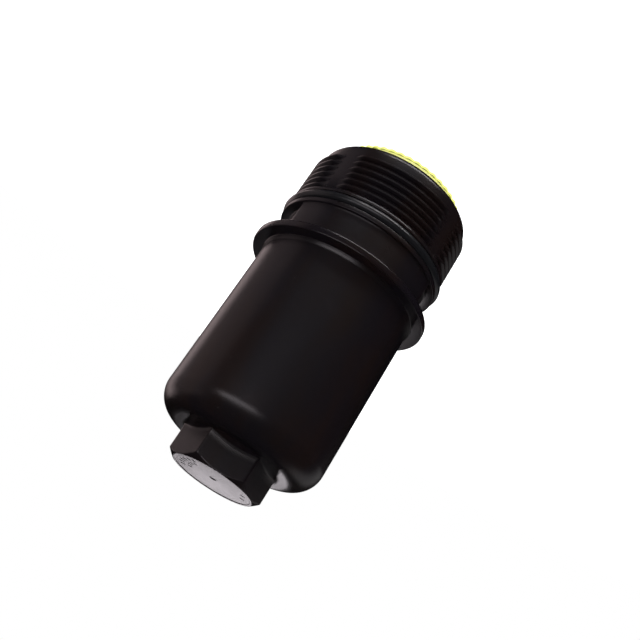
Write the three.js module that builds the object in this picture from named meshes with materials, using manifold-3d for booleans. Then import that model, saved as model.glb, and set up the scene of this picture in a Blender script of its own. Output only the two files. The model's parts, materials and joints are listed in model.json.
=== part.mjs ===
// Cartridge oil filter: a black screw cap with a pleated paper element seated in it.
// Millimetres, +Z up. The filter stands on the lower end of its element, hexagon on top,
// and the origin is the centre of that lower end.
import * as THREE from 'three';
import { mergeVertices } from 'three/addons/utils/BufferGeometryUtils.js';
import Module from 'manifold-3d';

const wasm = await Module();
wasm.setup();

// ---------------------------------------------------------------- driving dimensions
// Clearances.
const seat = 0.3;                 // gap between two pieces that rest on each other
const elementSlip = 1.5;          // radial gap between the element and the cap's bore

// Screw cap, heights measured up from its open rim.
const capLength = 130.5;          // open rim to the hexagon's end face
const elementStandOut = 4.8;      // how far the element reaches out of the rim
const hexAcrossFlats = 32;
const hexHeight = 10.6;           // end face down to the dome at the corners
const hexChamferMargin = 0.1;     // circle left flat on the end face, beyond the flats
const hexChamferDrop = 1.9;       // where the chamfer has reached the corners
const domeRise = 1.1;             // how far the dome falls away from the hexagon to the shoulder
const domeCornerRadius = 9.5;     // rounding from the dome to the cup wall
const hexEndWall = 6;             // solid end of the hexagon above its recess
const cupWall = 3.9;              // wall at the flange
const cupFlare = 0.4;             // wider by this much at the shoulder
const topWall = 3.4;
const boreRadius = 27.4;          // inside of the cap at the rim
const boreDraft = 0.4;            // narrower by this much at the dome
const boreCornerRadius = 7;
const rimRounding = 2.8;
const rimInnerChamfer = 0.5;

// Flange and neck.
const flangeWidth = 5.1;          // how far the flange stands out of the cup
const flangeThickness = 3;
const flangeEdge = 0.6;
const flangeFillet = 2;
const neckLength = 12.2;          // flange's underside down to the lower collar
const panelRise = 0.7;            // neck panels above the thread's root
const pocketDepth = 2.7;          // two moulded pockets below the panels
const pocketHalfWidth = 16.7;
const gussetWidth = 2.6;          // triangular web in each pocket corner
const gussetRise = 1.8;
const landRise = 1.8;             // collars above the thread's root
const lowerLand = 1.9;            // collar between the neck and the ring groove
const upperLand = 1.2;            // collar between the ring groove and the thread

// Housing seal ring.
const ringSection = 3.5;
const ringProud = 0.9;            // how far the ring stands out of the collars
const ringSlack = 0.2;            // groove taller than the ring's section
const grooveStart = 25.4;

// Thread: a right-hand helix broken by axial flutes.
const threadWall = 3.9;           // cap's wall under the thread
const threadDepth = 1.6;
const threadPitch = 2.9;
const threadRootGap = 0.6;        // bare wall between two ridges
const threadCrestWidth = 0.7;
const threadFirstTurn = 6;        // height of the first length of thread
const threadFlutes = 4;
const fluteAngle = 9.5;           // degrees
const threadRunOut = 0.12;        // share of each length over which it rises from the wall

// Spigot in the dome that the element plugs onto, and the webs that brace it.
const spigotRadius = 10.5;
const spigotWall = 1.8;
const webCount = 6;
const webThickness = 2;
const webDepth = 7.9;
const sealHeadroom = 3;           // webs down to the upper seal's lip
const portWidth = 5;
const portHeight = 5.5;
const portDrop = 1;               // dome down to the ports
const portClearance = 1.8;        // ports down to the valve body's top

// Filter element.
const discThickness = 1.2;
const glueThickness = 0.8;
const pleatCount = 44;
const pleatTubeGap = 0.8;         // centre tube out to the inner folds
const paperThickness = 0.5;
const outerFoldGap = 0.5;         // space inside an outer fold
const innerFoldGap = 0.3;
const seamDepth = 4.5;
const tubeSealGap = 0.6;          // widest seal out to the centre tube's bore
const tubeWall = 1.4;
const windowRows = 6;
const windowsAround = 6;
const windowWidth = 7;
const windowBar = 3.6;            // solid ring between two rows of windows
const upperSealWall = 1.6;
const upperSealLength = 6.2;
const upperSealLip = 1.4;
const upperSealLipThickness = 0.9;
const standpipeBore = 8.6;        // radius of the hole for the housing's standpipe
const lowerSealWall = 2;
const lowerSealLength = 4.2;
const lowerSealLip = 1.6;
const lowerSealLipThickness = 1.2;

// Bypass valve, pushed up into the spigot.
const valveWall = 2;
const valveLength = 17;
const valveCollar = 2;
const valveSeatThickness = 2;
const valveSeatLap = 1.4;         // how far the valve's face covers its seat
const valveGrooveFloor = 1;
const valveRingSection = 1.2;
const valveGrooveHeight = 1.9;
const valveGrooveDrop = 4.2;      // from the body's top to the ring's middle
const valvePlateSlip = 0.6;       // radial gap between the plate and the body's bore
const valvePlateThickness = 1.5;
const valveFaceThickness = 0.8;
const valveStemRadius = 1.5;
const valveStemReach = 0.6;       // stem's end above the valve body's lower end
const retainerThickness = 1.4;
const retainerRim = 1;
const retainerHub = 1.1;
const retainerSpoke = 1.6;
const retainerSpokes = 3;
const retainerLift = 1.2;         // retainer above the valve body's lower end
const springWire = 0.9;
const springInset = 1.6;          // wire's middle inside the plate's edge
const springTurns = 4;

const roundSteps = 48;            // sides of a full circle on large pieces
const smallSteps = 24;            // and on small ones

// ---------------------------------------------------------------- places that follow from them
const rimZ = elementStandOut;
const capTop = rimZ + capLength;
const hexBaseZ = capTop - hexHeight;
const boreTopZ = hexBaseZ - topWall;
const boreTopRadius = boreRadius - boreDraft;
const cupRadiusFlange = boreRadius + cupWall;
const cupRadiusTop = cupRadiusFlange + cupFlare;
const flangeRadius = cupRadiusFlange + flangeWidth;
const threadRootRadius = boreRadius + threadWall;
const threadCrestRadius = threadRootRadius + threadDepth;
const threadRootWidth = threadPitch - threadRootGap;
const panelRadius = threadRootRadius + panelRise;
const pocketRadius = panelRadius - pocketDepth;
const gussetRadius = pocketRadius + gussetRise;
const landRadius = threadRootRadius + landRise;
const ringOuterRadius = landRadius + ringProud;
const grooveFloorRadius = ringOuterRadius - ringSection - seat;
const grooveHeight = ringSection + ringSlack;
const neckStart = grooveStart + grooveHeight + lowerLand;
const flangeHeight = neckStart + neckLength;

const sealLipHeight = seat + upperSealLipThickness;
const elementLength = boreTopZ - webDepth - sealHeadroom - sealLipHeight;
const elementRadius = boreRadius - elementSlip;
const upperSealBore = spigotRadius + seat;
const upperSealOuter = upperSealBore + upperSealWall;
const lowerSealOuter = standpipeBore + lowerSealWall;
const tubeBore = Math.max(upperSealOuter, lowerSealOuter + lowerSealLip) + tubeSealGap;
const tubeRadius = tubeBore + tubeWall;
const pleatInnerRadius = tubeRadius + pleatTubeGap;
const outerFoldWidth = 2 * paperThickness + outerFoldGap;
const innerFoldWidth = 2 * paperThickness + innerFoldGap;
const lowerDiscTop = discThickness;
const paperBottom = lowerDiscTop + seat + glueThickness + seat;
const upperDiscBottom = elementLength - discThickness;
const paperTop = upperDiscBottom - seat - glueThickness - seat;
const valveInSpigot = valveLength - valveCollar - seat;
const spigotLength = valveInSpigot + portClearance + portHeight + portDrop;
const spigotBottom = boreTopZ - spigotLength;
const spigotBore = spigotRadius - spigotWall;
const valveRadius = spigotBore - seat;
const valveBore = valveRadius - valveWall;
const valveBottom = spigotBottom - seat - valveCollar;
const valveTop = valveBottom + valveLength;
const valveCeiling = valveTop - valveSeatThickness;
const faceTop = valveCeiling - seat;
const plateTop = faceTop - valveFaceThickness - seat;
const plateBottom = plateTop - valvePlateThickness;
const retainerBottom = valveBottom + retainerLift;
const retainerTop = retainerBottom + retainerThickness;
const valvePlateRadius = valveBore - valvePlateSlip;
const valveSeatRadius = valvePlateRadius - valveSeatLap;
const springRadius = valvePlateRadius - springInset;

// ---------------------------------------------------------------- geometry helpers
const degrees = Math.PI / 180;
const point = (x, y) => new THREE.Vector2(x, y);

function arc(centreX, centreY, radius, from, to, steps) {
  const points = [];
  for (let i = 0; i <= steps; i += 1) {
    const angle = (from + (to - from) * i / steps) * degrees;
    points.push(point(centreX + radius * Math.cos(angle), centreY + radius * Math.sin(angle)));
  }
  return points;
}

// A closed mesh as a solid: shared corners merged, collapsed triangles dropped.
function solid(geometry) {
  const bare = geometry.index ? geometry.toNonIndexed() : geometry.clone();
  bare.deleteAttribute('normal');
  bare.deleteAttribute('uv');
  const merged = mergeVertices(bare, 1e-4);
  const index = merged.index.array;
  const kept = [];
  for (let i = 0; i < index.length; i += 3) {
    const [a, b, c] = [index[i], index[i + 1], index[i + 2]];
    if (a !== b && b !== c && c !== a) kept.push(a, b, c);
  }
  return new wasm.Manifold(new wasm.Mesh({
    numProp: 3,
    vertProperties: new Float32Array(merged.attributes.position.array),
    triVerts: new Uint32Array(kept),
  }));
}

function geometryOf(body) {
  const { vertProperties, triVerts } = body.getMesh();
  const geometry = new THREE.BufferGeometry();
  geometry.setAttribute('position', new THREE.BufferAttribute(new Float32Array(vertProperties), 3));
  geometry.setIndex(new THREE.BufferAttribute(new Uint32Array(triVerts), 1));
  geometry.computeVertexNormals();
  return geometry;
}

// Turns an outline of (radius, height) points round the Z axis. The outline closes on itself.
function turned(outline, steps = roundSteps) {
  const closed = [...outline, outline[0].clone()];
  if (THREE.ShapeUtils.area(outline) < 0) closed.reverse();
  return solid(new THREE.LatheGeometry(closed, steps).rotateX(Math.PI / 2));
}

const ring = (inner, outer, bottom, top, steps = roundSteps) => turned(
  [point(inner, bottom), point(outer, bottom), point(outer, top), point(inner, top)], steps);

const rod = (radius, bottom, top, steps = smallSteps) => solid(
  new THREE.CylinderGeometry(radius, radius, top - bottom, steps)
    .rotateX(Math.PI / 2).translate(0, 0, (bottom + top) / 2));

function box(x, y, z, width, depth, height, turn = 0) {
  const geometry = new THREE.BoxGeometry(width, depth, height).translate(x, y, z);
  return solid(geometry.rotateZ(turn));
}

function upright(shape, bottom, height) {
  const geometry = new THREE.ExtrudeGeometry(shape, { depth: height, bevelEnabled: false });
  return solid(geometry.translate(0, 0, bottom));
}

function roundRing(radius, section, height, steps = roundSteps) {
  const tube = new THREE.TorusGeometry(radius, section / 2, 8, steps);
  return solid(tube.translate(0, 0, height));
}

// ---------------------------------------------------------------- the screw cap
function capShell() {
  const z = (height) => rimZ + height;
  const flangeTop = flangeHeight + flangeThickness;
  const grooveEnd = grooveStart + grooveHeight;
  const rimRadius = threadRootRadius - rimRounding;
  const shoulder = hexBaseZ - domeRise - domeCornerRadius;
  const outside = [
    point(boreRadius + rimInnerChamfer, z(0)),
    ...arc(rimRadius, z(rimRounding), rimRounding, -90, 0, 4),
    point(threadRootRadius, z(grooveStart - upperLand - (landRadius - threadRootRadius))),
    point(landRadius, z(grooveStart - upperLand)),
    point(landRadius, z(grooveStart)),
    point(grooveFloorRadius, z(grooveStart)),
    point(grooveFloorRadius, z(grooveEnd)),
    point(landRadius, z(grooveEnd)),
    point(landRadius, z(neckStart)),
    point(panelRadius, z(neckStart)),
    point(panelRadius, z(flangeHeight)),
    point(flangeRadius - flangeEdge, z(flangeHeight)),
    point(flangeRadius, z(flangeHeight + flangeEdge)),
    point(flangeRadius, z(flangeTop - flangeEdge)),
    point(flangeRadius - flangeEdge, z(flangeTop)),
    ...arc(cupRadiusFlange + flangeFillet, z(flangeTop) + flangeFillet, flangeFillet, -90, -180, 3),
    ...arc(cupRadiusTop - domeCornerRadius, shoulder, domeCornerRadius, 0, 90, 7),
    point(0, hexBaseZ),
  ];
  const inside = [
    point(0, boreTopZ),
    ...arc(boreTopRadius - boreCornerRadius, boreTopZ - boreCornerRadius, boreCornerRadius, 90, 0, 4),
    point(boreRadius, z(rimInnerChamfer)),
  ];
  const outline = [...outside, ...inside];
  if (THREE.ShapeUtils.area(outline) < 0) outline.reverse();
  return turned(outline);
}

function hexagon() {
  const cornerRadius = hexAcrossFlats / 2 / Math.cos(30 * degrees);
  const chamferRadius = hexAcrossFlats / 2 + hexChamferMargin;
  const depth = hexHeight + topWall / 2;
  const shape = new THREE.Shape(arc(0, 0, cornerRadius, 0, 300, 5));
  const prism = upright(shape, capTop - depth, depth);
  const chamferSpread = (cornerRadius - chamferRadius) / hexChamferDrop;
  const coneBase = chamferRadius + chamferSpread * depth;
  const cone = turned([
    point(0, capTop - depth),
    point(coneBase, capTop - depth),
    point(chamferRadius, capTop),
    point(0, capTop),
  ]);
  return prism.intersect(cone);
}

// One length of thread between two flutes, following the helix and running out at both ends.
function threadLength(middleAngle, middleZ) {
  const sweep = 360 / threadFlutes - fluteAngle;
  const buried = 0.4;
  const height = threadCrestRadius - threadRootRadius + buried;
  const section = new THREE.Shape([
    point(0, -threadRootWidth / 2),
    point(height, -threadCrestWidth / 2),
    point(height, threadCrestWidth / 2),
    point(0, threadRootWidth / 2),
  ]);
  const steps = Math.round(sweep / 13);
  const length = new THREE.ExtrudeGeometry(section, { depth: 1, steps, bevelEnabled: false });
  const position = length.attributes.position;
  for (let i = 0; i < position.count; i += 1) {
    const along = position.getZ(i);
    const fromEnd = Math.min(along, 1 - along);
    const rise = Math.min(1, 0.3 + 0.7 * fromEnd / threadRunOut);
    const turn = (0.5 - along) * sweep;
    const radius = threadRootRadius - buried + position.getX(i) * rise;
    const angle = (middleAngle + turn) * degrees;
    const z = middleZ + position.getY(i) + threadPitch * turn / 360;
    position.setXYZ(i, radius * Math.cos(angle), radius * Math.sin(angle), z);
  }
  return solid(length);
}

function thread() {
  const rise = threadPitch / threadFlutes;
  const last = grooveStart - upperLand - threadPitch / 4;
  let whole = null;
  for (let i = 0; threadFirstTurn + i * rise <= last; i += 1) {
    const middleAngle = 180 + i * 360 / threadFlutes;
    const piece = threadLength(middleAngle, rimZ + threadFirstTurn + i * rise);
    whole = whole ? whole.add(piece) : piece;
  }
  return whole;
}

// The two pockets in the neck are cut straight in from the sides, so their end walls are parallel.
function neckPockets() {
  const bottom = rimZ + neckStart;
  const top = rimZ + flangeHeight;
  const span = 2 * flangeRadius;
  const block = box(0, 0, (bottom + top) / 2, span, 2 * pocketHalfWidth, top - bottom);
  const overshoot = 1;
  return block.subtract(rod(pocketRadius, bottom - overshoot, top + overshoot, roundSteps));
}

function pocketGussets() {
  const bottom = rimZ + neckStart;
  const top = rimZ + flangeHeight;
  const bury = 0.5;
  const core = pocketRadius - bury;
  const web = new THREE.Shape([
    point(pocketHalfWidth + bury, bottom),
    point(pocketHalfWidth + bury, top + bury),
    point(pocketHalfWidth - gussetWidth, top + bury),
    point(pocketHalfWidth - gussetWidth, top),
    point(pocketHalfWidth, bottom),
  ]);
  const length = 2 * gussetRadius;
  const plate = new THREE.ExtrudeGeometry(web, { depth: length, bevelEnabled: false });
  plate.applyMatrix4(new THREE.Matrix4().makeBasis(
    new THREE.Vector3(0, 1, 0), new THREE.Vector3(0, 0, 1), new THREE.Vector3(1, 0, 0)));
  const one = solid(plate.translate(-length / 2, 0, 0));
  const other = solid(plate.clone().rotateZ(Math.PI));
  return one.add(other).intersect(ring(core, gussetRadius, bottom, top + bury));
}

function spigot() {
  const bury = 0.6;
  const tube = ring(spigotBore, spigotRadius, spigotBottom, boreTopZ + bury, smallSteps);
  const webOuter = boreTopRadius - boreCornerRadius / 3;
  let whole = tube;
  for (let i = 0; i < webCount; i += 1) {
    const inner = spigotBore + spigotWall / 2;
    const web = box((inner + webOuter) / 2, 0, boreTopZ + (bury - webDepth) / 2, webOuter - inner,
      webThickness, webDepth + bury, i * 2 * Math.PI / webCount);
    whole = whole.add(web);
  }
  return whole;
}

function spigotPorts() {
  const middle = boreTopZ - portDrop - portHeight / 2;
  let cuts = null;
  for (let i = 0; i < webCount / 2; i += 1) {
    const turn = (i + 0.5) * 2 * Math.PI / webCount;
    const cut = box(0, 0, middle, 2 * spigotRadius + 2, portWidth, portHeight, turn);
    cuts = cuts ? cuts.add(cut) : cut;
  }
  return cuts;
}

function screwCap() {
  const recess = rod(spigotBore, spigotBottom + spigotLength / 2, capTop - hexEndWall);
  return capShell()
    .add(hexagon())
    .add(thread())
    .subtract(neckPockets())
    .add(pocketGussets())
    .add(spigot())
    .subtract(recess)
    .subtract(spigotPorts());
}

// ---------------------------------------------------------------- the filter element
const pleatPitch = 2 * Math.PI / pleatCount;
const pleatValley = pleatInnerRadius + paperThickness;

// Open width between two neighbouring pleats at a radius.
function pleatGap(radius) {
  const widest = elementRadius * pleatPitch - outerFoldWidth;
  const narrowest = innerFoldWidth - 2 * paperThickness;
  const share = (radius - pleatValley) / (elementRadius - pleatValley);
  return narrowest + (widest - narrowest) * share;
}

function pleatedPaper() {
  const outer = [];
  const inner = [];
  const at = (radius, angle) => point(radius * Math.cos(angle), radius * Math.sin(angle));
  const outerHalf = outerFoldWidth / 2;
  const innerHalf = innerFoldWidth / 2;
  const crown = elementRadius - paperThickness;
  for (let i = 0; i < pleatCount; i += 1) {
    const fold = i * pleatPitch;
    const gap = fold + pleatPitch / 2;
    outer.push(at(elementRadius, fold - outerHalf / elementRadius));
    outer.push(at(elementRadius, fold + outerHalf / elementRadius));
    outer.push(at(pleatValley, gap - (innerHalf - paperThickness) / pleatValley));
    outer.push(at(pleatValley, gap + (innerHalf - paperThickness) / pleatValley));
    inner.push(at(crown, fold - (outerHalf - paperThickness) / crown));
    inner.push(at(crown, fold + (outerHalf - paperThickness) / crown));
    inner.push(at(pleatInnerRadius, gap - innerHalf / pleatInnerRadius));
    inner.push(at(pleatInnerRadius, gap + innerHalf / pleatInnerRadius));
  }
  const shape = new THREE.Shape(outer);
  shape.holes.push(new THREE.Path(inner));
  return upright(shape, paperBottom, paperTop - paperBottom);
}

// The bead that joins the paper's two ends lies between two pleats, at the back.
function seamBead() {
  const outer = elementRadius - paperThickness;
  const thickness = pleatGap(outer - seamDepth) - seat;
  const angle = (Math.round(pleatCount / 4) + 0.5) * pleatPitch;
  return box(outer - seamDepth / 2, 0, (paperBottom + paperTop) / 2, seamDepth, thickness,
    paperTop - paperBottom, angle);
}

function centreTube() {
  const bottom = lowerDiscTop + seat;
  const top = upperDiscBottom - seat;
  const pitch = (top - bottom - windowBar) / windowRows;
  let tube = ring(tubeBore, tubeRadius, bottom, top, smallSteps);
  for (let row = 0; row < windowRows; row += 1) {
    const middle = bottom + windowBar + (pitch - windowBar) / 2 + row * pitch;
    for (let i = 0; i < windowsAround / 2; i += 1) {
      const turn = (i + 0.5) * 2 * Math.PI / windowsAround;
      tube = tube.subtract(box(0, 0, middle, 3 * tubeRadius, windowWidth, pitch - windowBar, turn));
    }
  }
  return tube;
}

const glueInner = tubeRadius + seat;
const glueOuter = elementRadius - seat;
const lowerGlueBed = () => ring(glueInner, glueOuter, lowerDiscTop + seat, paperBottom - seat);
const upperGlueBed = () => ring(glueInner, glueOuter, paperTop + seat, upperDiscBottom - seat);

const upperDisc = () => ring(upperSealOuter + seat, elementRadius, upperDiscBottom, elementLength);
const lowerDisc = () => ring(lowerSealOuter + seat, elementRadius, 0, lowerDiscTop);

function upperSeal() {
  const lipBottom = elementLength + seat;
  const top = lipBottom + upperSealLipThickness;
  return turned([
    point(upperSealBore, top - upperSealLength),
    point(upperSealOuter, top - upperSealLength),
    point(upperSealOuter, lipBottom),
    point(upperSealOuter + upperSealLip, lipBottom),
    point(upperSealOuter + upperSealLip, top),
    point(upperSealBore, top),
  ], smallSteps);
}

function lowerSeal() {
  const lipBottom = lowerDiscTop + seat;
  const lipTop = lipBottom + lowerSealLipThickness;
  return turned([
    point(standpipeBore, seat),
    point(lowerSealOuter, seat),
    point(lowerSealOuter, lipBottom),
    point(lowerSealOuter + lowerSealLip, lipBottom),
    point(lowerSealOuter + lowerSealLip, lipTop),
    point(lowerSealOuter, lipTop),
    point(lowerSealOuter, seat + lowerSealLength),
    point(standpipeBore, seat + lowerSealLength),
  ], smallSteps);
}

// ---------------------------------------------------------------- the bypass valve
function valveBody() {
  const groove = valveTop - valveGrooveDrop;
  const floor = valveRadius - valveGrooveFloor - seat;
  return turned([
    point(valveBore, valveBottom),
    point(spigotRadius - seat, valveBottom),
    point(spigotRadius - seat, valveBottom + valveCollar),
    point(valveRadius, valveBottom + valveCollar),
    point(valveRadius, groove - valveGrooveHeight / 2),
    point(floor, groove - valveGrooveHeight / 2),
    point(floor, groove + valveGrooveHeight / 2),
    point(valveRadius, groove + valveGrooveHeight / 2),
    point(valveRadius, valveTop),
    point(valveSeatRadius, valveTop),
    point(valveSeatRadius, valveCeiling),
    point(valveBore, valveCeiling),
  ], smallSteps);
}

function valveRing() {
  const middle = valveRadius - valveGrooveFloor + valveRingSection / 2;
  return roundRing(middle, valveRingSection, valveTop - valveGrooveDrop, smallSteps);
}

const valveFace = () => rod(valvePlateRadius, plateTop + seat, faceTop);

function valvePlate() {
  const stem = rod(valveStemRadius, valveBottom + valveStemReach, plateTop - seat);
  return rod(valvePlateRadius, plateBottom, plateTop).add(stem);
}

function valveRetainer() {
  const outer = valveBore - seat;
  const hole = valveStemRadius + seat;
  const rim = ring(outer - retainerRim, outer, retainerBottom, retainerTop, smallSteps);
  let spider = rim.add(ring(hole, hole + retainerHub, retainerBottom, retainerTop, smallSteps));
  const from = hole + retainerHub / 2;
  const to = outer - retainerRim / 2;
  for (let i = 0; i < retainerSpokes; i += 1) {
    const turn = i * 2 * Math.PI / retainerSpokes;
    spider = spider.add(box((from + to) / 2, 0, (retainerBottom + retainerTop) / 2, to - from,
      retainerSpoke, retainerThickness, turn));
  }
  return spider;
}

class Helix extends THREE.Curve {
  constructor(radius, bottom, top, turns) {
    super();
    Object.assign(this, { radius, bottom, top, turns });
  }

  getPoint(t, target = new THREE.Vector3()) {
    const angle = t * this.turns * 2 * Math.PI;
    const z = this.bottom + (this.top - this.bottom) * t;
    return target.set(this.radius * Math.cos(angle), this.radius * Math.sin(angle), z);
  }
}

function valveSpring() {
  const bottom = retainerTop + seat + springWire / 2;
  const top = plateBottom - seat - springWire / 2;
  const wire = new THREE.Shape(arc(0, 0, springWire / 2, 0, 300, 5));
  const path = new Helix(springRadius, bottom, top, springTurns);
  return solid(new THREE.ExtrudeGeometry(wire, {
    steps: springTurns * 14, extrudePath: path, bevelEnabled: false,
  }));
}

// ---------------------------------------------------------------- finishes and assembly
const finish = (color, roughness, metalness = 0) => (
  new THREE.MeshStandardMaterial({ color, roughness, metalness }));

const finishes = {
  nylon: () => finish(0x16120f, 0.45),
  rubber: () => finish(0x121214, 0.6),
  paper: () => finish(0xf3e35a, 0.9),
  felt: () => finish(0xefe07a, 0.95),
  glue: () => finish(0xd9c46a, 0.5),
  cage: () => finish(0x22211f, 0.5),
  steel: () => finish(0xa9abad, 0.35, 0.9),
};

const group = new THREE.Group();

function place(name, body, look) {
  const mesh = new THREE.Mesh(geometryOf(body), finishes[look]());
  mesh.name = name;
  group.add(mesh);
}

place('screw_cap', screwCap(), 'nylon');
place('housing_seal_ring',
  roundRing(ringOuterRadius - ringSection / 2, ringSection, rimZ + grooveStart + grooveHeight / 2),
  'rubber');
place('pleated_paper', pleatedPaper(), 'paper');
place('seam_bead', seamBead(), 'glue');
place('centre_tube', centreTube(), 'cage');
place('lower_glue_bed', lowerGlueBed(), 'glue');
place('upper_glue_bed', upperGlueBed(), 'glue');
place('lower_end_disc', lowerDisc(), 'felt');
place('upper_end_disc', upperDisc(), 'felt');
place('lower_seal', lowerSeal(), 'rubber');
place('upper_seal', upperSeal(), 'rubber');
place('valve_body', valveBody(), 'cage');
place('valve_ring', valveRing(), 'rubber');
place('valve_face', valveFace(), 'rubber');
place('valve_plate', valvePlate(), 'steel');
place('valve_spring', valveSpring(), 'steel');
place('valve_retainer', valveRetainer(), 'steel');

export default group;
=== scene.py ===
"""Looks for a cartridge oil filter: a black moulded screw cap with its sealing ring,
and the yellow pleated element that plugs into it. Metres, +Z up, standing on the element."""
import json
import math

import bmesh
import bpy
from mathutils import Matrix, Vector


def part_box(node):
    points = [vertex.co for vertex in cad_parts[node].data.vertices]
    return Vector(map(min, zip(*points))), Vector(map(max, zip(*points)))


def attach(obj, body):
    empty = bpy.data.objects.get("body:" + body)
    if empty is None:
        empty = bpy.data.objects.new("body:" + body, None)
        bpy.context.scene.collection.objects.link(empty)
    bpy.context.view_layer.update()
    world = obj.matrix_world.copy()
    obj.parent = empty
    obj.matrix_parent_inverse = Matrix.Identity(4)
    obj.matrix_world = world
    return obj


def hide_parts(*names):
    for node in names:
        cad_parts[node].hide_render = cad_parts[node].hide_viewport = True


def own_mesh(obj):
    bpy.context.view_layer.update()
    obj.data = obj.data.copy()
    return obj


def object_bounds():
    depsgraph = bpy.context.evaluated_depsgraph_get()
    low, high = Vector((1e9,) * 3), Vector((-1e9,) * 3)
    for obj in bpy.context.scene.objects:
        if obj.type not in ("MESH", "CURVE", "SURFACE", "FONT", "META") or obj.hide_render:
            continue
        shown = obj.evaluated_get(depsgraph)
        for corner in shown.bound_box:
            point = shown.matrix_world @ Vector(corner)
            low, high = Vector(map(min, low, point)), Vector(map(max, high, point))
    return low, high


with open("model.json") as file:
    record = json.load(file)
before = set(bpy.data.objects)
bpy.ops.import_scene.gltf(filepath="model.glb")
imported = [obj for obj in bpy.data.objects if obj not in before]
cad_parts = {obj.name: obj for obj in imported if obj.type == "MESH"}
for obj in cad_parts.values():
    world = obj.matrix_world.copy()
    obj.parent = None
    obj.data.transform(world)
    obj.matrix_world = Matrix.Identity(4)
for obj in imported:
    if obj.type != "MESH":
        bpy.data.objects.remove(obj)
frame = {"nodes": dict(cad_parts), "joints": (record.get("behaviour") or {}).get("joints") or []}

bl_info = {
    "name": "Oil filter looks",
    "version": (1, 0, 0),
    "blender": (4, 5, 0),
    "location": "3D View > Sidebar > Oil Filter",
    "description": "Builds the pieces of a cartridge oil filter around its packed model",
    "category": "Object",
}

CAD_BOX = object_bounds()
# low enough for the underside, and the element drawn right out, to be seen clear of it
FLOOR_DROP = 1.2
MM = 0.001
CAP_STEPS = 360          # points round the screw cap
FINE_STEPS = 192         # points round the smaller turned pieces
WELD = 1e-6              # points closer than this are one point
RIDGE_BURIED = 0.4 * MM  # how far a thread ridge runs into the wall
FLUTE_ANGLE = math.radians(9.5)


# ------------------------------------------------------------------ sizes and colours
def length(name, description, millimetres):
    return bpy.props.FloatProperty(
        name=name, description=description, default=millimetres * MM, min=0.0,
        unit="LENGTH", precision=5)


def count(name, description, default):
    return bpy.props.IntProperty(name=name, description=description, default=default, min=1)


def tint(name, description, colour):
    return bpy.props.FloatVectorProperty(
        name=name, description=description, default=colour, size=3, min=0.0, max=1.0,
        subtype="COLOR")


class CapSizes(bpy.types.PropertyGroup):
    """Sizes of the moulded screw cap."""
    hex_flats: length("Hexagon", "Width across the hexagon's flats", 32)
    hex_height: length("Hexagon height", "End face down to the dome", 10.6)
    hex_chamfer: length("Chamfer", "Depth of the end chamfer at the corners", 1.9)
    skirt: length("Skirt", "Rise of the dome against the middle of a flat", 1.15)
    dome_fall: length("Dome fall", "How far the dome falls away to its shoulder", 1.1)
    shoulder: length("Shoulder", "Rounding from the dome to the cup's wall", 9.5)
    cup_top: length("Cup radius, dome", "Radius of the cup below its shoulder", 31.7)
    cup_foot: length("Cup radius, flange", "Radius of the cup at the flange", 31.3)
    flange_top: length("Flange top", "Rim up to the flange's upper face", 46.2)
    flange_thickness: length("Flange", "Thickness of the flange", 3)
    flange_width: length("Flange width", "How far the flange stands out of the cup", 5.1)
    flange_edge: length("Flange edge", "Rounding of the flange's edges", 0.7)
    fillet: length("Fillet", "Rounding between the cup and its flange", 2)
    panel: length("Neck panels", "Radius of the neck's raised panels", 32)
    pocket: length("Pockets", "Radius of the floor of the neck's pockets", 29.3)
    pocket_half: length("Pocket half width", "Middle of a pocket out to its end wall", 16.7)
    gusset_width: length("Gusset", "Width of the web in a pocket's corner, at the flange", 2.6)
    gusset: length("Gusset radius", "Radius of the webs in the pockets' corners", 31.1)
    neck_foot: length("Neck foot", "Rim up to the lower end of the neck", 31)
    land: length("Collars", "Radius of the collars beside the ring's groove", 33.1)
    groove_top: length("Groove top", "Rim up to the groove's upper wall", 29.1)
    groove_foot: length("Groove foot", "Rim up to the groove's lower wall", 25.4)
    groove_floor: length("Groove floor", "Radius of the groove's floor", 30.2)
    upper_land: length("Upper collar", "Thickness of the collar over the thread", 1.2)
    thread_root: length("Thread root", "Radius of the wall between the ridges", 31.3)
    thread_depth: length("Thread depth", "How far a ridge stands out of the wall", 1.6)
    thread_pitch: length("Thread pitch", "Height of one turn", 2.9)
    thread_foot: length("Ridge foot", "Width of a ridge at the wall", 2.3)
    thread_crest: length("Ridge crest", "Width of a ridge's crest", 0.62)
    flutes: count("Flutes", "Gaps that cross the thread, round the cap", 4)
    thread_start: length("Thread start", "Rim up to the first ridge", 6)
    thread_lengths: count("Thread lengths", "Lengths of ridge, four to a turn", 26)
    rim: length("Rim", "Rounding of the cap's open rim", 2.8)
    bore: length("Bore", "Radius of the cap's bore at its rim", 27.4)
    bore_top: length("Bore, dome", "Radius of the cap's bore under the dome", 27)
    bore_corner: length("Bore corner", "Rounding inside the dome", 7)
    top_wall: length("Top wall", "Thickness of the dome in its middle", 3.4)
    spigot: length("Spigot", "Radius of the spigot inside the cap", 10.5)
    spigot_bore: length("Spigot bore", "Radius of the hole in the spigot", 8.7)
    spigot_length: length("Spigot length", "Dome down to the spigot's end", 23)
    hex_end_wall: length("End wall", "Solid end of the hexagon", 6)
    webs: count("Webs", "Webs between the spigot and the dome", 6)
    web_half: length("Web half width", "Half the thickness of a web", 1)
    web_depth: length("Web depth", "Dome down to a web's lower edge", 7.9)
    port_half: length("Port half width", "Half the width of a port in the spigot", 2.5)
    port_top: length("Port top", "Dome down to a port's upper edge", 1)
    port_foot: length("Port foot", "Dome down to a port's lower edge", 6.5)


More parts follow.
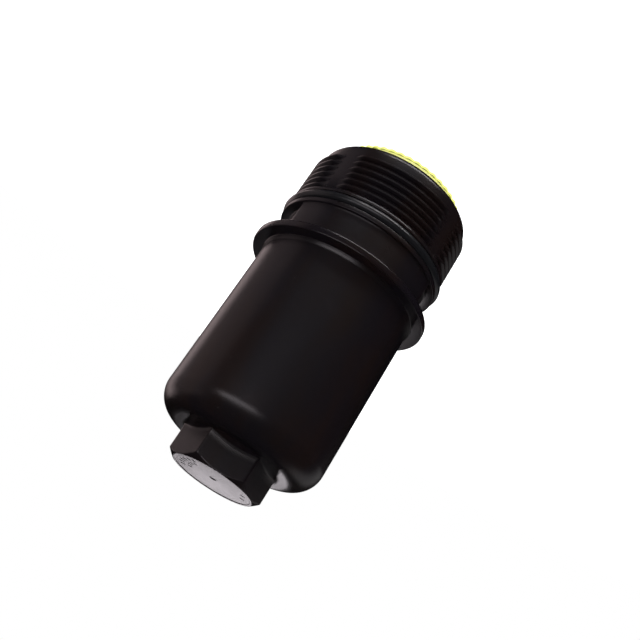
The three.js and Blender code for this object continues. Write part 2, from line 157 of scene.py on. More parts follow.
class ElementSizes(bpy.types.PropertyGroup):
    """Sizes of the filter element."""
    pleats: count("Pleats", "Folds round the element", 44)
    paper: length("Paper", "Thickness of the paper", 0.5)
    outer_fold: length("Outer fold", "Width of an outer fold", 1.5)
    inner_fold: length("Inner fold", "Width of an inner fold", 1.3)
    fold_rounding: length("Fold rounding", "Rounding of the paper where it turns", 0.36)
    inner_radius: length("Pleat root", "Radius of the inner folds", 15.2)
    scallop: length("Scallop", "How far an end disc dips between two pleats", 0.45)
    lower_hole: length("Lower hole", "Radius of the hole in the lower disc", 10.9)
    upper_hole: length("Upper hole", "Radius of the hole in the upper disc", 12.7)
    tube_wall: length("Tube wall", "Wall of the centre tube", 1.4)
    window_rows: count("Window rows", "Rows of windows up the centre tube", 6)
    windows_around: count("Windows around", "Windows in one row", 6)
    window_width: length("Window width", "Width of a window", 7)
    window_bar: length("Bars", "Height of the ring between two rows", 3.6)


class ValveSizes(bpy.types.PropertyGroup):
    """Sizes of the bypass valve."""
    wire: length("Wire", "Thickness of the spring's wire", 0.9)
    spring_radius: length("Spring radius", "Middle of the wire", 4.2)
    turns: count("Turns", "Turns of the spring", 4)


class FilterColours(bpy.types.PropertyGroup):
    """Colours of the filter's materials."""
    nylon: tint("Nylon", "Black moulded nylon of the cap", (0.0064, 0.0037, 0.0046))
    rubber: tint("Rubber", "Black rubber of the rings and seals", (0.0060, 0.0060, 0.0075))
    paper: tint("Paper", "Resin-treated filter paper", (0.93, 0.93, 0.17))
    felt: tint("Felt", "Pressed felt of the end discs", (0.94, 0.95, 0.24))
    glue: tint("Glue", "Hot-melt adhesive", (0.90, 0.87, 0.22))
    cage: tint("Cage", "Black nylon of the centre tube and the valve", (0.0120, 0.0115, 0.0110))
    steel: tint("Steel", "Zinc-plated spring steel", (0.52, 0.53, 0.54))


def settings(name):
    return getattr(bpy.context.scene, "oil_filter_" + name)


# ------------------------------------------------------------------ shader expressions
class Shade:
    """A number on a shader socket. Arithmetic on it adds Math nodes to its paint."""

    def __init__(self, paint, socket):
        self.paint = paint
        self.socket = socket

    def __add__(self, other):
        return self.paint.math("ADD", self, other)

    def __sub__(self, other):
        return self.paint.math("SUBTRACT", self, other)

    def __rsub__(self, other):
        return self.paint.math("SUBTRACT", other, self)

    def __mul__(self, other):
        return self.paint.math("MULTIPLY", self, other)

    def __gt__(self, other):
        return self.paint.math("GREATER_THAN", self, other)

    def __lt__(self, other):
        return self.paint.math("LESS_THAN", self, other)

    __radd__ = __add__
    __rmul__ = __mul__


class Paint:
    """A material whose pattern is written as Python expressions."""

    def __init__(self, name):
        self.material = bpy.data.materials.new(name)
        self.material.use_nodes = True
        self.nodes = self.material.node_tree.nodes
        self.links = self.material.node_tree.links
        self.shader = next(n for n in self.nodes if n.type == "BSDF_PRINCIPLED")
        self.place = self.node("ShaderNodeTexCoord").outputs["Object"]

    def set(self, socket, value):
        if isinstance(value, Shade):
            value = value.socket
        if isinstance(value, bpy.types.NodeSocket):
            self.links.new(value, socket)
        else:
            socket.default_value = value

    def node(self, kind, options=None, values=None):
        made = self.nodes.new(kind)
        for key, value in (options or {}).items():
            setattr(made, key, value)
        for key, value in (values or {}).items():
            self.set(made.inputs[key], value)
        return made

    def math(self, operation, first, second=0.0, clamp=False):
        made = self.node("ShaderNodeMath", {"operation": operation, "use_clamp": clamp},
                         {0: first, 1: second})
        return Shade(self, made.outputs[0])

    def stretched(self, scale):
        made = self.node("ShaderNodeMapping", None, {"Vector": self.place, "Scale": scale})
        return made.outputs[0]

    def noise(self, per_metre, detail=2.0, roughness=0.5, place=None):
        made = self.node("ShaderNodeTexNoise", {"noise_dimensions": "3D"}, {
            "Vector": place or self.place, "Scale": per_metre, "Detail": detail,
            "Roughness": roughness})
        return Shade(self, made.outputs["Fac"])

    def between(self, value, low, high):
        made = self.node("ShaderNodeMapRange", {"clamp": True, "interpolation_type": "SMOOTHSTEP"},
                         {"Value": value, "From Min": low, "From Max": high})
        return Shade(self, made.outputs["Result"])

    def mix(self, share, first, second):
        made = self.node("ShaderNodeMix", {"data_type": "RGBA"})
        self.set(made.inputs["Factor"], share)
        colours = [s for s in made.inputs if s.type == "RGBA"]
        self.set(colours[0], first)
        self.set(colours[1], second)
        return next(s for s in made.outputs if s.type == "RGBA")

    def axis(self, name):
        made = self.node("ShaderNodeSeparateXYZ", None, {"Vector": self.place})
        return Shade(self, made.outputs[name])

    def radius(self):
        flat = self.node("ShaderNodeVectorMath", {"operation": "MULTIPLY"},
                         {0: self.place, 1: (1.0, 1.0, 0.0)})
        made = self.node("ShaderNodeVectorMath", {"operation": "LENGTH"},
                         {0: flat.outputs["Vector"]})
        return Shade(self, made.outputs["Value"])

    def bump(self, height, strength, depth):
        made = self.node("ShaderNodeBump", None, {
            "Height": height, "Strength": strength, "Distance": depth})
        return made.outputs["Normal"]

    def done(self, values):
        for key, value in values.items():
            self.set(self.shader.inputs[key], value)
        return self.material


def rgba(colour, gain=1.0):
    return (*[min(1.0, part * gain) for part in colour], 1.0)


def moulded_nylon(name, colour, roughness):
    """Glass-filled nylon: a fine grain, soft flow marks and paler, rubbed spots."""
    paint = Paint(name)
    grain = paint.noise(3800, 2.0, 0.6)
    flow = paint.noise(70, 3.0, 0.55, paint.stretched((1.0, 1.0, 0.35)))
    rubbed = paint.between(paint.noise(140, 4.0, 0.62), 0.60, 0.78)
    dusty = paint.between(paint.noise(900, 2.0, 0.5), 0.66, 0.80)
    base = paint.mix(flow, rgba(colour, 0.80), rgba(colour, 1.25))
    base = paint.mix(rubbed * 0.30, base, rgba(colour, 2.6))
    base = paint.mix(dusty * 0.25, base, rgba(colour, 4.0))
    relief = grain * 0.6 + flow * 0.4
    return paint.done({
        "Base Color": base,
        "Roughness": roughness + (flow - 0.5) * 0.14 + grain * 0.05 - rubbed * 0.05,
        "IOR": 1.5,
        "Normal": paint.bump(relief, 0.35, 0.00006),
    })


def cap_nylon(colours, sizes, rim_z):
    """The cap's nylon, with its thread crests and flange edge made smoother and painted paler,
    partly as rubbed wear and partly as painted highlight lines.
    """
    paint = Paint("cap_nylon")
    grain = paint.noise(3800, 2.0, 0.6)
    flow = paint.noise(55, 3.0, 0.55, paint.stretched((1.0, 1.0, 0.3)))
    rubbed = paint.between(paint.noise(120, 4.0, 0.62), 0.60, 0.80)
    scratches = paint.noise(420, 4.0, 0.7, paint.stretched((1.0, 1.0, 2.4)))
    scuffed = paint.between(scratches, 0.69, 0.76)
    radius = paint.radius()
    crest = sizes.thread_root + sizes.thread_depth
    under_land = paint.axis("Z") < rim_z + sizes.groove_foot - sizes.upper_land
    crests = paint.between(radius, crest - 0.25 * MM, crest - 0.02 * MM) * under_land
    flange = sizes.cup_foot + sizes.flange_width
    edge = paint.between(radius, flange - 0.5 * MM, flange)
    # painted highlight and wear: a pale band on the thread crests and round the flange's edge,
    # broken up by the rubbed patches, stands for the bright lines that light leaves on these edges
    # as well as for rubbing
    wear_and_highlight = paint.math("MAXIMUM", crests * rubbed, edge * rubbed)
    red, green, blue = colours.nylon
    brownish = (red * 1.25, green * 1.05, blue * 0.80, 1.0)
    bluish = (red * 0.80, green * 0.95, blue * 1.25, 1.0)
    base = paint.mix(paint.between(flow, 0.35, 0.65), brownish, bluish)
    base = paint.mix(rubbed * 0.25, base, rgba(colours.nylon, 2.4))
    # painted highlight: the crest and flange-edge bands are painted pale grey
    base = paint.mix(wear_and_highlight * 0.8, base, (0.085, 0.080, 0.080, 1.0))
    base = paint.mix(scuffed * 0.22, base, (0.10, 0.095, 0.095, 1.0))
    relief = grain * 0.5 + flow * 0.5 - scuffed * 0.3
    return paint.done({
        "Base Color": base,
        "Roughness": 0.28 + (flow - 0.5) * 0.14 + grain * 0.05 - edge * 0.06 - wear_and_highlight * 0.05,
        "IOR": 1.5,
        "Normal": paint.bump(relief, 0.35, 0.00008),
    })


def smooth_rubber(name, colour, roughness=0.33):
    """Moulded nitrile rubber: smooth, with a faint bloom and dust."""
    paint = Paint(name)
    bloom = paint.noise(160, 3.0, 0.6)
    fine = paint.noise(5200, 2.0, 0.5)
    dust = paint.between(paint.noise(1500, 3.0, 0.6), 0.66, 0.78)
    base = paint.mix(bloom, rgba(colour, 0.8), rgba(colour, 1.5))
    base = paint.mix(dust * 0.3, base, (0.06, 0.06, 0.065, 1.0))
    return paint.done({
        "Base Color": base,
        "Roughness": roughness + (bloom - 0.5) * 0.12 + dust * 0.1,
        "IOR": 1.52,
        "Normal": paint.bump(fine * 0.6 + bloom * 0.4, 0.25, 0.00004),
    })


def filter_paper(colours):
    """Resin-treated paper: long fibres, a greenish cast in the thin places."""
    paint = Paint("filter_paper")
    fibres = paint.noise(1500, 5.0, 0.65, paint.stretched((1.0, 1.0, 0.4)))
    cross = paint.noise(2600, 4.0, 0.6)
    cloud = paint.between(paint.noise(90, 3.0, 0.5), 0.35, 0.75)
    base = paint.mix(cloud, rgba(colours.paper), (0.86, 0.95, 0.20, 1.0))
    base = paint.mix(paint.between(fibres, 0.42, 0.70) * 0.5, base, (0.97, 0.96, 0.42, 1.0))
    return paint.done({
        "Base Color": base,
        "Roughness": 0.80 + (cross - 0.5) * 0.2,
        "Specular IOR Level": 0.25,
        "Subsurface Weight": 0.25,
        "Subsurface Radius": (0.8, 0.75, 0.2),
        "Subsurface Scale": 0.0006,
        "Normal": paint.bump(fibres * 0.6 + cross * 0.4, 0.5, 0.00010),
    })


def pressed_felt(colours):
    """Non-woven felt: tangled fibres and flattened patches in the paper's colour."""
    paint = Paint("pressed_felt")
    tangle = paint.noise(2200, 6.0, 0.72)
    hairs = paint.noise(1300, 4.0, 0.7, paint.stretched((1.0, 2.6, 1.0)))
    patch = paint.between(paint.noise(130, 3.0, 0.5), 0.4, 0.7)
    base = paint.mix(patch, rgba(colours.felt), (0.86, 0.94, 0.22, 1.0))
    base = paint.mix(paint.between(tangle, 0.45, 0.62) * 0.45, base, (0.98, 0.97, 0.45, 1.0))
    return paint.done({
        "Base Color": base,
        "Roughness": 0.86 + (hairs - 0.5) * 0.16,
        "Specular IOR Level": 0.2,
        "Sheen Weight": 0.15,
        "Normal": paint.bump(tangle * 0.6 + hairs * 0.4, 0.8, 0.00016),
    })


def hot_melt(colours):
    """Adhesive: smooth and slightly milky, with small waves."""
    paint = Paint("hot_melt_glue")
    waves = paint.noise(420, 2.0, 0.4)
    milky = paint.noise(150, 3.0, 0.5)
    return paint.done({
        "Base Color": paint.mix(milky, rgba(colours.glue), (0.95, 0.94, 0.38, 1.0)),
        "Roughness": 0.34 + (milky - 0.5) * 0.2,
        "Subsurface Weight": 0.3,
        "Subsurface Radius": (0.9, 0.8, 0.3),
        "Subsurface Scale": 0.0008,
        "Normal": paint.bump(waves, 0.5, 0.00015),
    })


def plated_steel(colours, drawn_along):
    """Zinc-plated steel with fine marks drawn along it."""
    paint = Paint("plated_steel_" + drawn_along)
    scale = (1.0, 1.0, 12.0) if drawn_along == "rings" else (9.0, 9.0, 1.0)
    lines = paint.noise(1400, 4.0, 0.6, paint.stretched(scale))
    dull = paint.between(paint.noise(240, 3.0, 0.55), 0.35, 0.75)
    base = paint.mix(dull, rgba(colours.steel), rgba(colours.steel, 0.72))
    return paint.done({
        "Base Color": base,
        "Metallic": 1.0,
        "Roughness": 0.24 + dull * 0.16 + (lines - 0.5) * 0.12,
        "Normal": paint.bump(lines, 0.3, 0.00003),
    })


# ------------------------------------------------------------------ mesh helpers
def arc(radius, height, rounding, start, stop, steps):
    """Points (radius, height) on a small circle, with its angles in degrees."""
    points = []
    for i in range(steps + 1):
        angle = math.radians(start + (stop - start) * i / steps)
        points.append((radius + rounding * math.cos(angle), height + rounding * math.sin(angle)))
    return points


def ring(radius, height, steps):
    """A level ring. The radius is a number, or a function of the angle."""
    points = []
    for i in range(steps):
        angle = 2 * math.pi * i / steps
        reach = radius(angle) if callable(radius) else radius
        rise = height(angle) if callable(height) else height
        points.append(Vector((reach * math.cos(angle), reach * math.sin(angle), rise)))
    return points


def skin(name, rings, closed=False):
    """A closed body through rings of points. A ring of one point is a pole."""
    mesh = bmesh.new()
    rows = [[mesh.verts.new(point) for point in points] for points in rings]
    if closed:
        rows.append(rows[0])
    for lower, upper in zip(rows, rows[1:]):
        steps = max(len(lower), len(upper))
        for i in range(steps):
            j = (i + 1) % steps
            corners = [lower[i % len(lower)], lower[j % len(lower)],
                       upper[j % len(upper)], upper[i % len(upper)]]
            corners = list(dict.fromkeys(corners))
            if len(corners) > 2:
                mesh.faces.new(corners)
    return as_object(name, mesh)


def as_object(name, mesh):
    bmesh.ops.remove_doubles(mesh, verts=mesh.verts, dist=WELD)
    bmesh.ops.dissolve_degenerate(mesh, edges=mesh.edges, dist=WELD)
    bmesh.ops.recalc_face_normals(mesh, faces=mesh.faces)
    if mesh.calc_volume(signed=True) < 0:
        bmesh.ops.reverse_faces(mesh, faces=mesh.faces)
    data = bpy.data.meshes.new(name)
    mesh.to_mesh(data)
    mesh.free()
    made = bpy.data.objects.new(name, data)
    bpy.context.scene.collection.objects.link(made)
    return made


def turned(name, outline, steps=FINE_STEPS):
    """A closed outline of (radius, height) points turned round the Z axis."""
    return skin(name, [ring(r, z, steps) for r, z in outline], closed=True)


def block(name, low, high, turn=0.0):
    """A box-shaped tool for cutting or joining."""
    mesh = bmesh.new()
    bmesh.ops.create_cube(mesh, size=1.0)
    low, high = Vector(low), Vector(high)
    for vert in mesh.verts:
        vert.co = Vector([low[i] + (vert.co[i] + 0.5) * (high[i] - low[i]) for i in range(3)])
    bmesh.ops.transform(mesh, matrix=Matrix.Rotation(turn, 4, "Z"), verts=mesh.verts)
    return as_object(name, mesh)


def discard(made):
    data = made.data
    bpy.data.objects.remove(made)
    bpy.data.meshes.remove(data)


def applied(made):
    """The object with its modifiers worked out and removed."""
    bpy.context.view_layer.update()
    graph = bpy.context.evaluated_depsgraph_get()
    data = bpy.data.meshes.new_from_object(made.evaluated_get(graph))
    old = made.data
    made.modifiers.clear()
    made.data = data
    data.name = made.name
    bpy.data.meshes.remove(old)
    return made


def carve(made, tool, operation):
    cut = made.modifiers.new("carve", "BOOLEAN")
    cut.operation = operation
    cut.solver = "EXACT"
    cut.object = tool
    applied(made)
    discard(tool)
    if not made.data.polygons:
        raise RuntimeError(f"{made.name} was lost while it was being cut")
    return made


def finish_piece(made, body, material, stands_for, sharp=32):
    mesh = bmesh.new()
    mesh.from_mesh(made.data)
    bmesh.ops.remove_doubles(mesh, verts=mesh.verts, dist=WELD)
    bmesh.ops.triangulate(mesh, faces=[f for f in mesh.faces if len(f.verts) > 4])
    mesh.to_mesh(made.data)
    mesh.free()
    made.data.materials.clear()
    made.data.materials.append(material)
    made.data.shade_smooth()
    made.data.set_sharp_from_angle(angle=math.radians(sharp))
    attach(made, body)
    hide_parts(*stands_for)
    return made


def dress(node, material):
    """Gives a carried-over CAD node its material."""
    made = frame["nodes"][node]
    made.data.materials.clear()
    made.data.materials.append(material)


# ------------------------------------------------------------------ geometry node trees
class Recipe:
    """A Geometry Nodes tree with named inputs."""

    def __init__(self, name, inputs):
        self.tree = bpy.data.node_groups.new(name, "GeometryNodeTree")
        face = self.tree.interface
        face.new_socket("Geometry", in_out="INPUT", socket_type="NodeSocketGeometry")
        self.keys = {}
        for label, kind in inputs.items():
            self.keys[label] = face.new_socket(label, in_out="INPUT", socket_type=kind).identifier
        face.new_socket("Geometry", in_out="OUTPUT", socket_type="NodeSocketGeometry")
        self.given = self.tree.nodes.new("NodeGroupInput")
        self.result = self.tree.nodes.new("NodeGroupOutput")

    def __getitem__(self, label):
        return self.given.outputs[label]

    def node(self, kind, options=None, values=None, output=0):
        made = self.tree.nodes.new(kind)
        for key, value in (options or {}).items():
            setattr(made, key, value)
        for key, value in (values or {}).items():
            if isinstance(value, bpy.types.NodeSocket):
                self.tree.links.new(value, made.inputs[key])
            else:
                made.inputs[key].default_value = value
        return made.outputs[output]

    def math(self, operation, first, second=0.0):
        return self.node("ShaderNodeMath", {"operation": operation}, {0: first, 1: second})

    def copies_round(self, shape, how_many, turn, rise):
        """Copies of a shape, each turned and raised by one more step than the last."""
        offset = self.node("ShaderNodeCombineXYZ", None, {"Z": rise})
        line = self.node("GeometryNodeMeshLine", {"mode": "OFFSET"}, {
            "Count": how_many, "Start Location": (0.0, 0.0, 0.0), "Offset": offset})
        index = self.node("GeometryNodeInputIndex")
        angle = self.math("MULTIPLY", index, turn)
        rotation = self.node("ShaderNodeCombineXYZ", None, {"Z": angle})
        return self.node("GeometryNodeInstanceOnPoints", None, {
            "Points": line, "Instance": shape, "Rotation": rotation})

    def finish(self, geometry):
        real = self.node("GeometryNodeRealizeInstances", None, {"Geometry": geometry})
        self.end(real)

    def end(self, real):
        painted = self.node("GeometryNodeSetMaterial", None, {
            "Geometry": real, "Material": self["Material"]})
        self.tree.links.new(painted, self.result.inputs[0])

    def apply(self, made, values):
        modifier = made.modifiers.new(self.tree.name, "NODES")
        modifier.node_group = self.tree
        for label, value in values.items():
            modifier[self.keys[label]] = value
        applied(made)
        if not made.data.polygons:
            raise RuntimeError(f"{self.tree.name} made nothing")
        return made


FLOAT, WHOLE, MATERIAL, OBJECT = (
    "NodeSocketFloat", "NodeSocketInt", "NodeSocketMaterial", "NodeSocketObject")


def thread_recipe():
    """Bends a straight ridge into a length of helix and repeats it up the wall."""
    recipe = Recipe("thread_ridges", {
        "Lengths": WHOLE, "Sweep": FLOAT, "Pitch": FLOAT, "Wall": FLOAT, "Run-out": FLOAT,
        "Step Turn": FLOAT, "Step Rise": FLOAT, "Material": MATERIAL})
    place = recipe.node("GeometryNodeInputPosition")
    split = recipe.tree.nodes.new("ShaderNodeSeparateXYZ")
    recipe.tree.links.new(place, split.inputs[0])
    along, out, up = split.outputs
    from_end = recipe.math("SUBTRACT", 0.5, recipe.math("ABSOLUTE", along))
    run_out = recipe.math("DIVIDE", from_end, recipe["Run-out"])
    rise = recipe.node("ShaderNodeMapRange", {"interpolation_type": "SMOOTHSTEP"}, {
        "Value": run_out, "To Min": 0.28, "To Max": 1.0})
    turn = recipe.math("MULTIPLY", along, recipe["Sweep"])
    radius = recipe.math("ADD", recipe["Wall"], recipe.math("MULTIPLY", out, rise))
    turns = recipe.math("DIVIDE", turn, 2 * math.pi)
    lift = recipe.math("ADD", up, recipe.math("MULTIPLY", turns, recipe["Pitch"]))
    bent = recipe.node("ShaderNodeCombineXYZ", None, {
        "X": recipe.math("MULTIPLY", radius, recipe.math("COSINE", turn)),
        "Y": recipe.math("MULTIPLY", radius, recipe.math("SINE", turn)), "Z": lift})
    ridge = recipe.node("GeometryNodeSetPosition", None, {
        "Geometry": recipe["Geometry"], "Position": bent})
    recipe.finish(recipe.copies_round(
        ridge, recipe["Lengths"], recipe["Step Turn"], recipe["Step Rise"]))
    return recipe


def pleat_recipe():
    """Repeats one fold of paper round the element and joins the folds into one sheet."""
    recipe = Recipe("pleated_sheet", {
        "Folds": WHOLE, "Step Turn": FLOAT, "Unevenness": FLOAT, "Material": MATERIAL})
    folds = recipe.copies_round(recipe["Geometry"], recipe["Folds"], recipe["Step Turn"], 0.0)
    real = recipe.node("GeometryNodeRealizeInstances", None, {"Geometry": folds})
    joined = recipe.node("GeometryNodeMergeByDistance", None, {
        "Geometry": real, "Distance": 0.00002})
    noise = recipe.node("ShaderNodeTexNoise", {"noise_dimensions": "4D"}, {
        "W": 3.0, "Scale": 95.0, "Detail": 1.0}, output="Color")
    centred = recipe.node("ShaderNodeVectorMath", {"operation": "SUBTRACT"}, {
        0: noise, 1: (0.5, 0.5, 0.5)})
    level = recipe.node("ShaderNodeVectorMath", {"operation": "MULTIPLY"}, {
        0: centred, 1: (1.0, 1.0, 0.0)})
    shift = recipe.node("ShaderNodeVectorMath", {"operation": "SCALE"}, {
        0: level, "Scale": recipe["Unevenness"]})
    uneven = recipe.node("GeometryNodeSetPosition", None, {"Geometry": joined, "Offset": shift})
    recipe.end(uneven)
    return recipe


def window_recipe():
    """Cuts rows of windows through the wall of a tube."""
    recipe = Recipe("tube_windows", {
        "Rows": WHOLE, "Around": WHOLE, "Row Rise": FLOAT, "Step Turn": FLOAT,
        "Window": OBJECT, "Material": MATERIAL})
    window = recipe.tree.nodes.new("GeometryNodeObjectInfo")
    recipe.tree.links.new(recipe["Window"], window.inputs["Object"])
    row = recipe.copies_round(
        window.outputs["Geometry"], recipe["Around"], recipe["Step Turn"], 0.0)
    rows = recipe.copies_round(row, recipe["Rows"], 0.0, recipe["Row Rise"])
    real = recipe.node("GeometryNodeRealizeInstances", None, {"Geometry": rows})
    cut = recipe.node("GeometryNodeMeshBoolean", {"operation": "DIFFERENCE", "solver": "EXACT"}, {
        "Mesh 1": recipe["Geometry"], "Mesh 2": real})
    recipe.finish(cut)
    return recipe


def spring_recipe():
    """A wire wound round a helix whose end turns lie closer together."""
    recipe = Recipe("wound_spring", {
        "Points": WHOLE, "Turns": FLOAT, "Radius": FLOAT, "Foot": FLOAT, "Height": FLOAT,
        "Wire": FLOAT, "Material": MATERIAL})
    line = recipe.node("GeometryNodeMeshLine", {"mode": "OFFSET"}, {
        "Count": recipe["Points"], "Offset": (0.0, 0.0, 0.001)})
    index = recipe.node("GeometryNodeInputIndex")
    last = recipe.math("SUBTRACT", recipe["Points"], 1.0)
    along = recipe.math("DIVIDE", index, last)
    turn = recipe.math("MULTIPLY", along, recipe.math("MULTIPLY", recipe["Turns"], 2 * math.pi))
    eased = recipe.node("ShaderNodeMapRange", {"interpolation_type": "SMOOTHSTEP"}, {
        "Value": along})
    blend = recipe.math("ADD", recipe.math("MULTIPLY", along, 0.5),
                        recipe.math("MULTIPLY", eased, 0.5))
    height = recipe.math("ADD", recipe["Foot"], recipe.math("MULTIPLY", blend, recipe["Height"]))
    wound = recipe.node("ShaderNodeCombineXYZ", None, {
        "X": recipe.math("MULTIPLY", recipe["Radius"], recipe.math("COSINE", turn)),
        "Y": recipe.math("MULTIPLY", recipe["Radius"], recipe.math("SINE", turn)), "Z": height})
    path = recipe.node("GeometryNodeSetPosition", None, {"Geometry": line, "Position": wound})
    curve = recipe.node("GeometryNodeMeshToCurve", None, {"Mesh": path})
    section = recipe.node("GeometryNodeCurvePrimitiveCircle", {"mode": "RADIUS"}, {
        "Resolution": 16, "Radius": recipe["Wire"]})
    wire = recipe.node("GeometryNodeCurveToMesh", None, {
        "Curve": curve, "Profile Curve": section, "Fill Caps": True})
    recipe.finish(wire)
    return recipe


# ------------------------------------------------------------------ the screw cap
def neck_outline(sizes, height, steps=CAP_STEPS):
    """Outline of the neck: panels at the front and back, square-walled pockets at the sides.
    Height runs from 0 at the neck's foot to 1 at the flange."""
    half, floor, panel, web = sizes.pocket_half, sizes.pocket, sizes.panel, sizes.gusset
    foot = half - sizes.gusset_width * height - 0.05 * MM
    floor_end = math.degrees(math.asin(foot / floor))
    panel_end = math.degrees(math.asin(half / panel)) + 0.9
    floor_share, wall_share = 32.0, 40.0
    across = lambda y, radius: Vector((math.sqrt(radius * radius - y * y), y))
    corners = [across(foot, floor), across(foot, web - 0.15 * MM), across(foot + 0.1 * MM, web),
               across(half - 0.1 * MM, web), across(half, web + 0.1 * MM),
               across(half, panel - 0.3 * MM), across(half + 0.12 * MM, panel - 0.06 * MM),
               Vector((panel * math.cos(math.radians(panel_end)),
                       panel * math.sin(math.radians(panel_end))))]
    points = []
    for i in range(steps):
        angle = 360.0 * i / steps
        mirror_x = 90 < angle < 270
        mirror_y = angle > 180
        fold = angle % 180
        fold = min(fold, 180 - fold)
        if fold <= floor_share:
            at = math.radians(floor_end * fold / floor_share)
            point = Vector((floor * math.cos(at), floor * math.sin(at)))
        elif fold < wall_share:
            run = (fold - floor_share) / (wall_share - floor_share) * (len(corners) - 1)
            first = min(int(run), len(corners) - 2)
            point = corners[first].lerp(corners[first + 1], run - first)
        else:
            share = (fold - wall_share) / (90 - wall_share)
            at = math.radians(panel_end + (90 - panel_end) * share)
            point = Vector((panel * math.cos(at), panel * math.sin(at)))
        points.append(((-point.x if mirror_x else point.x), (-point.y if mirror_y else point.y)))
    return points


def hexagon_reach(apothem):
    """Distance from the axis to the hexagon's side at an angle, with eased corners."""
    eased = 0.12 * MM

    def reach(angle):
        turned_by = (math.degrees(angle) % 60) - 30
        side = apothem / math.cos(math.radians(turned_by))
        return side - (eased if abs(abs(turned_by) - 30) < 0.01 else 0.0)
    return reach


